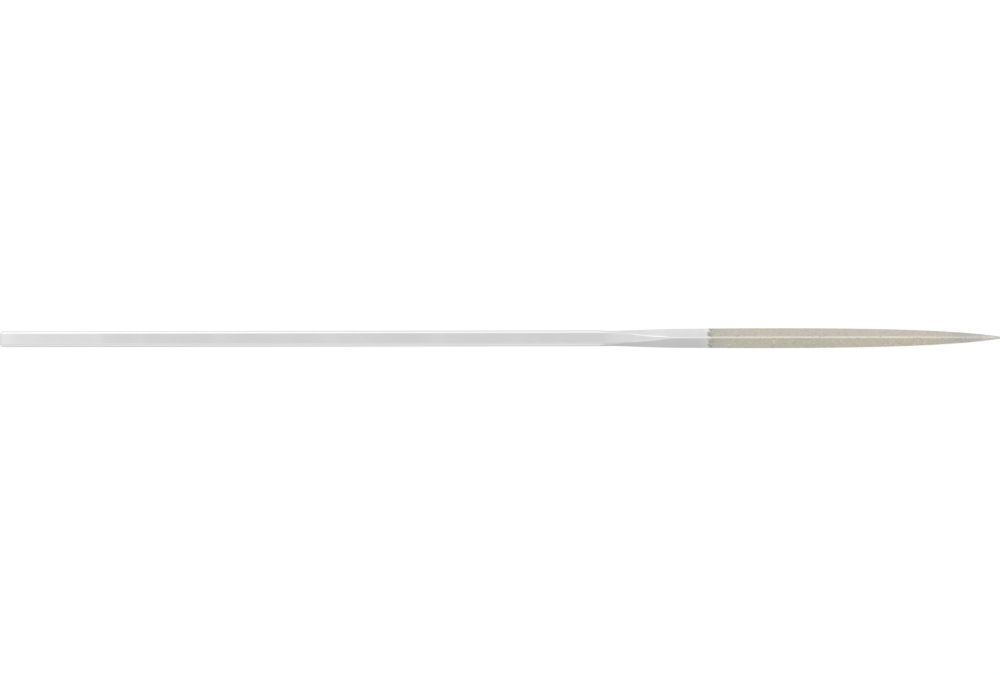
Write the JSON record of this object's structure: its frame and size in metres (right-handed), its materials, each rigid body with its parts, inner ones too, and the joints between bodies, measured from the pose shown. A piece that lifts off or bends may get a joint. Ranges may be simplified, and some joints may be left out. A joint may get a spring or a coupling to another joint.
{
  "type": "triangular diamond file",
  "caption": "Long slim hand file: plain square shank, forged transition and a bellied triangular blade whose diamond coating runs from a sharp line to the blunt tip.",
  "frame": {"origin": "middle of the flat butt end, on the axis of the square shank", "axes": "+X along the file's axis from the butt end to the tip; +Z from the blade's flat under face to its upper ridge; +Y to the left seen from the butt end"},
  "size_m": [0.215, 0.0044, 0.0042],
  "materials": {
    "plated_steel": "satin nickel-bright steel, ground and drawn lengthwise, with softly rounded corners",
    "diamond_coating": "matt warm grey electroplated nickel, set all over with fine diamond grit that catches the light",
    "diamond_grit": "blunt yellowish diamond crystals about a tenth of a millimetre across, dulled by a thin film of nickel"
  },
  "bodies": {
    "root": {"steel_blank": "plated_steel", "nickel_bond": "diamond_coating", "diamond_grains": "diamond_grit"}
  },
  "joints": []
}
